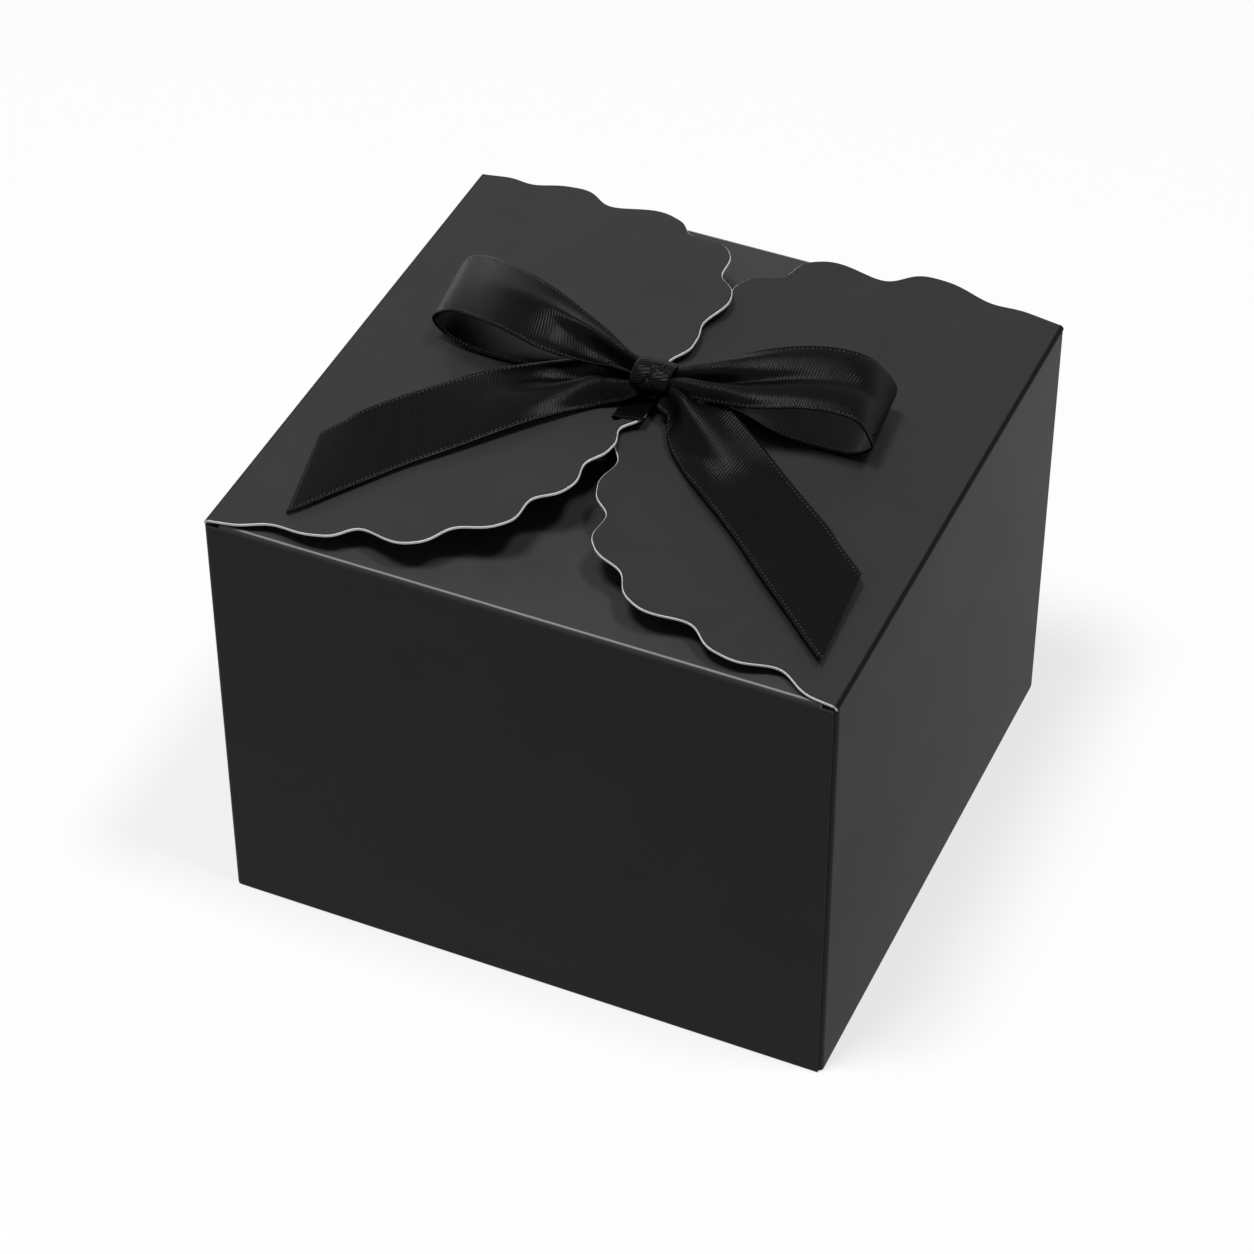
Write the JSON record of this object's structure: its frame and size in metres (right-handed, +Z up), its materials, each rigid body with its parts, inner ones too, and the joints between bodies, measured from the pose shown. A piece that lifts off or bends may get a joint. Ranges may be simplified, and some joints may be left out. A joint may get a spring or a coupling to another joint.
{
  "type": "gift box",
  "caption": "Nearly cubic folded card gift box with two scalloped top flaps tied shut by a satin ribbon bow; flaps hinge open on their creases.",
  "frame": {"origin": "middle of the box's bottom, on the surface it stands on", "axes": "+X toward the right wall, +Y toward the back wall, +Z up"},
  "size_m": [0.12, 0.114, 0.1102],
  "materials": {
    "black_card": "matt black coating on white-cored folding board",
    "black_satin": "black satin ribbon with a fine cross rib and stitched selvedges"
  },
  "bodies": {
    "carton": {"front_wall": "black_card", "back_wall": "black_card", "left_wall": "black_card", "right_wall": "black_card", "glue_tab": "black_card", "bottom_tongue_panel": "black_card", "bottom_slot_panel": "black_card", "bottom_left_panel": "black_card", "bottom_right_panel": "black_card"},
    "front_inner_flap": {"front_flap": "black_card"},
    "back_inner_flap": {"back_flap": "black_card"},
    "left_outer_flap": {"left_flap": "black_card", "ribbon_strap_left": "black_satin"},
    "right_outer_flap": {"right_flap": "black_card", "ribbon_strap_right": "black_satin"},
    "bow": {"knot_core": "black_satin", "knot_wrap": "black_satin", "left_loop": "black_satin", "right_loop": "black_satin", "left_tail": "black_satin", "right_tail": "black_satin"}
  },
  "joints": [
    {"name": "left_flap_hinge", "type": "hinge", "parent": "carton", "child": "left_outer_flap", "pos_m": [-0.06, 0, 0.091], "axis": [0, -1, 0], "range_deg": [0, 135]},
    {"name": "right_flap_hinge", "type": "hinge", "parent": "carton", "child": "right_outer_flap", "pos_m": [0.06, 0, 0.091], "axis": [0, 1, 0], "range_deg": [0, 136]},
    {"name": "front_flap_hinge", "type": "hinge", "parent": "carton", "child": "front_inner_flap", "pos_m": [0, -0.057, 0.091], "axis": [1, 0, 0], "range_deg": [0, 110]},
    {"name": "back_flap_hinge", "type": "hinge", "parent": "carton", "child": "back_inner_flap", "pos_m": [0, 0.057, 0.091], "axis": [-1, 0, 0], "range_deg": [0, 110]},
    {"name": "bow_lift", "type": "slide", "parent": "carton", "child": "bow", "axis": [0, 0, 1], "range_m": [0, 0.17]}
  ],
  "couplings": [
    {"joint": "right_flap_hinge", "follows": "left_flap_hinge", "ratio": 1},
    {"joint": "front_flap_hinge", "follows": "left_flap_hinge", "ratio": 0.8},
    {"joint": "back_flap_hinge", "follows": "left_flap_hinge", "ratio": 0.8},
    {"joint": "bow_lift", "follows": "left_flap_hinge", "m_per_rad": 0.07}
  ]
}
